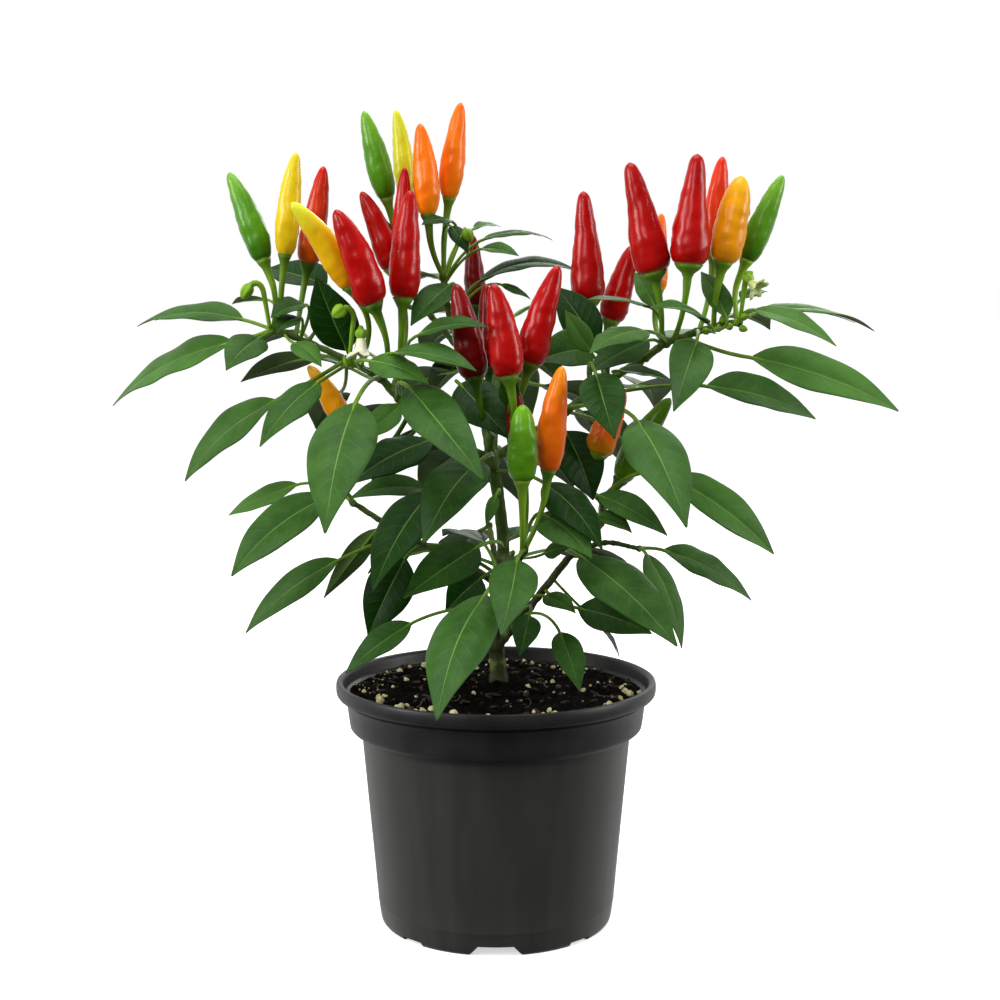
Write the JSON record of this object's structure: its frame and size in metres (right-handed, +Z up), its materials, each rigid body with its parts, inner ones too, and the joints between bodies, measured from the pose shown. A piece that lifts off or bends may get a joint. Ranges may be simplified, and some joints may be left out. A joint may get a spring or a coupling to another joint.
{
  "type": "potted chilli pepper plant",
  "caption": "Bushy chilli pepper plant with upright pods and pointed leaves, rooted in soil in a round plastic nursery pot.",
  "frame": {"origin": "the pot's axis where its foot ring meets the ground, which is the middle of the bounding box's underside", "axes": "+Z up along the pot's axis, -Y towards the front of the plant, +X to the right of someone facing the front"},
  "size_m": [0.3206, 0.2346, 0.331],
  "materials": {
    "pot_plastic": "semi-matte black",
    "peat": "rough dark peat with pale grains",
    "stem_green": "satin green to olive bark",
    "leaf_green": "satin leaf",
    "pod_red": "glossy skin",
    "pod_dark_red": "glossy skin",
    "pod_orange": "glossy skin",
    "pod_yellow": "glossy skin",
    "pod_green": "glossy skin"
  },
  "bodies": {
    "root": {"pot": "pot_plastic", "soil": "peat", "stem": "stem_green", "chilli_01": "pod_green", "chilli_02": "pod_yellow", "chilli_03": "pod_red", "chilli_04": "pod_yellow", "chilli_05": "pod_red", "chilli_06": "pod_red", "chilli_07": "pod_red", "chilli_08": "pod_red", "chilli_09": "pod_green", "chilli_10": "pod_yellow", "chilli_11": "pod_orange", "chilli_12": "pod_orange", "chilli_13": "pod_dark_red", "chilli_14": "pod_dark_red", "chilli_15": "pod_red", "chilli_16": "pod_red", "chilli_17": "pod_red", "chilli_18": "pod_red", "chilli_19": "pod_red", "chilli_20": "pod_red", "chilli_21": "pod_orange", "chilli_22": "pod_red", "chilli_23": "pod_red", "chilli_24": "pod_yellow", "chilli_25": "pod_green", "chilli_26": "pod_green", "chilli_27": "pod_orange", "chilli_28": "pod_yellow", "chilli_29": "pod_orange", "chilli_30": "pod_green", "leaf_01": "leaf_green", "leaf_02": "leaf_green", "leaf_03": "leaf_green", "leaf_04": "leaf_green", "leaf_05": "leaf_green", "leaf_06": "leaf_green", "leaf_07": "leaf_green", "leaf_08": "leaf_green", "leaf_09": "leaf_green", "leaf_10": "leaf_green", "leaf_11": "leaf_green", "leaf_12": "leaf_green", "leaf_13": "leaf_green", "leaf_14": "leaf_green", "leaf_15": "leaf_green", "leaf_16": "leaf_green", "leaf_17": "leaf_green", "leaf_18": "leaf_green", "leaf_19": "leaf_green", "leaf_20": "leaf_green", "leaf_21": "leaf_green", "leaf_22": "leaf_green", "leaf_23": "leaf_green", "leaf_24": "leaf_green", "leaf_25": "leaf_green", "leaf_26": "leaf_green", "leaf_27": "leaf_green"}
  },
  "joints": []
}
